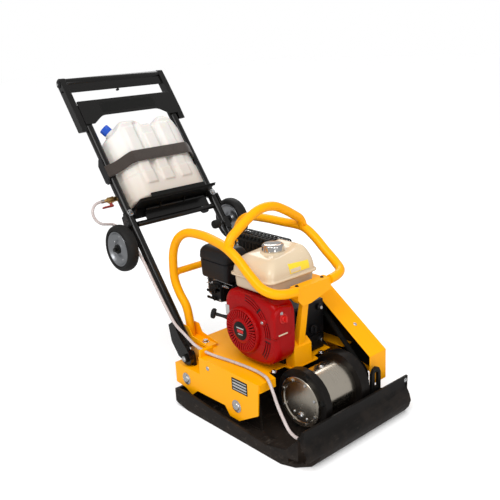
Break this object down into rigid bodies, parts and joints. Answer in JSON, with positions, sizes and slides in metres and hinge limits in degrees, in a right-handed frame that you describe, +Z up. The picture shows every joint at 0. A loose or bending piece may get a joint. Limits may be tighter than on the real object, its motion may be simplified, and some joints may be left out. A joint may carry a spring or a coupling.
{
  "type": "plate compactor",
  "caption": "Petrol plate compactor with a vibrating sole, roll cage over the engine, folding handle, water canister and transport wheels.",
  "frame": {"origin": "centre of the flat sole's underside, which rests on the ground", "axes": "+X is the direction of travel, +Y towards the belt side, +Z up"},
  "size_m": [1.1256, 0.5296, 0.9825],
  "materials": {
    "yellow_paint": "semi-gloss enamel",
    "black_paint": "semi-gloss enamel",
    "black_plastic": "fine grain",
    "rubber": "matt",
    "wheel": "solid rubber tyre on a zinc plated disc",
    "stainless": "brushed",
    "zinc": "zinc plated",
    "chrome": "polished",
    "aluminium": "as cast",
    "red_paint": "gloss",
    "cream_paint": "gloss",
    "canister": "blow-moulded polyethylene, slightly translucent",
    "blue_plastic": "moulded",
    "brass": "machined",
    "red_plastic": "moulded",
    "webbing": "woven strap",
    "hose": "clear PVC"
  },
  "bodies": {
    "machine": {"base_plate": "black_paint", "spray_bar": "black_paint", "lift_loop": "black_paint", "exciter_tube": "stainless", "exciter_flange_near": "black_paint", "exciter_flange_far": "black_paint", "exciter_cover": "stainless", "bearing_near": "zinc", "bearing_far": "zinc", "shock_mount_1": "rubber", "shock_mount_2": "rubber", "shock_mount_3": "rubber", "shock_mount_4": "rubber", "console": "yellow_paint", "belt_guard": "yellow_paint", "drive_belt": "rubber", "cage_side_near": "yellow_paint", "cage_side_far": "yellow_paint", "cage_rear_bar": "yellow_paint", "cage_arch": "yellow_paint", "cage_front_post": "yellow_paint", "engine_block": "aluminium", "cylinder_head": "aluminium", "fan_cover": "red_paint", "fuel_tank": "cream_paint", "air_cleaner": "black_plastic", "carburettor": "black_plastic", "muffler": "black_plastic", "pivot_pin_near": "zinc", "pivot_pin_far": "zinc", "hose_lower": "hose"},
    "crank": {"crankshaft": "zinc", "flywheel": "aluminium", "clutch_pulley": "aluminium"},
    "exciter_rotor": {"eccentric_shaft": "zinc", "exciter_pulley": "black_paint"},
    "fuel_cap": {"fuel_cap": "chrome"},
    "starter_grip": {"starter_grip": "black_plastic"},
    "engine_switch": {"engine_switch": "red_plastic"},
    "oil_cap": {"oil_cap": "black_plastic"},
    "throttle_lever": {"throttle_lever": "black_plastic"},
    "choke_lever": {"choke_lever": "black_plastic"},
    "fuel_lever": {"fuel_lever": "black_plastic"},
    "handle": {"handle_tube_near": "black_paint", "handle_tube_far": "black_paint", "grip_frame": "black_paint", "handle_panel": "black_paint", "tank_shelf": "black_paint", "lower_cross_bar": "black_paint", "rubber_bumper": "rubber", "water_tank": "canister", "tank_strap": "webbing", "water_valve": "brass", "hose_upper": "hose"},
    "tank_cap": {"tank_cap": "blue_plastic"},
    "valve_lever": {"valve_lever": "red_plastic"},
    "wheel_near": {"wheel_near": "wheel"},
    "wheel_far": {"wheel_far": "wheel"}
  },
  "joints": [
    {"name": "handle_fold", "type": "hinge", "parent": "machine", "child": "handle", "pos_m": [-0.2696, 0, 0.157], "axis": [0, 1, 0], "range_deg": [0, 16]},
    {"name": "wheel_near_spin", "type": "hinge", "parent": "handle", "child": "wheel_near", "pos_m": [-0.52392, -0.2275, 0.46621], "axis": [0, 1, 0], "continuous": true},
    {"name": "wheel_far_spin", "type": "hinge", "parent": "handle", "child": "wheel_far", "pos_m": [-0.52392, 0.2275, 0.46621], "axis": [0, 1, 0], "continuous": true},
    {"name": "valve_turn", "type": "hinge", "parent": "handle", "child": "valve_lever", "pos_m": [-0.61155, -0.198, 0.58845], "axis": [-0.5864, 0, 0.81], "range_deg": [0, 90]},
    {"name": "tank_cap_turn", "type": "hinge", "parent": "handle", "child": "tank_cap", "pos_m": [-0.7182, -0.1175, 0.79889], "axis": [-0.5078, -0.5, 0.7015], "range_deg": [0, 720]},
    {"name": "crank_spin", "type": "hinge", "parent": "machine", "child": "crank", "pos_m": [-0.058, 0, 0.294], "axis": [0, 1, 0], "continuous": true},
    {"name": "exciter_spin", "type": "hinge", "parent": "machine", "child": "exciter_rotor", "pos_m": [0.13, 0, 0.125], "axis": [0, 1, 0], "continuous": true},
    {"name": "fuel_cap_turn", "type": "hinge", "parent": "machine", "child": "fuel_cap", "pos_m": [-0.035, -0.035, 0.519], "axis": [0, 0, 1], "range_deg": [0, 90]},
    {"name": "starter_pull", "type": "slide", "parent": "machine", "child": "starter_grip", "axis": [-0.8, -0.55, 0.24], "range_m": [0, 0.45], "stiffness_N_per_m": 20, "springref_m": -0.4},
    {"name": "engine_switch_turn", "type": "hinge", "parent": "machine", "child": "engine_switch", "pos_m": [0.085, -0.112, 0.356], "axis": [1, 0, 0], "range_deg": [0, 45]},
    {"name": "oil_cap_turn", "type": "hinge", "parent": "machine", "child": "oil_cap", "pos_m": [0.037, 0.048, 0.262], "axis": [1, 0, 0], "range_deg": [0, 720]},
    {"name": "throttle_turn", "type": "hinge", "parent": "machine", "child": "throttle_lever", "pos_m": [-0.224, -0.092, 0.372], "axis": [0, 1, 0], "range_deg": [-10, 30]},
    {"name": "choke_turn", "type": "hinge", "parent": "machine", "child": "choke_lever", "pos_m": [-0.24, -0.092, 0.35], "axis": [0, 1, 0], "range_deg": [-15, 15]},
    {"name": "fuel_tap_turn", "type": "hinge", "parent": "machine", "child": "fuel_lever", "pos_m": [-0.24, -0.092, 0.328], "axis": [0, 1, 0], "range_deg": [-35, 10]}
  ],
  "couplings": [
    {"joint": "exciter_spin", "follows": "crank_spin", "ratio": 1.2162}
  ]
}
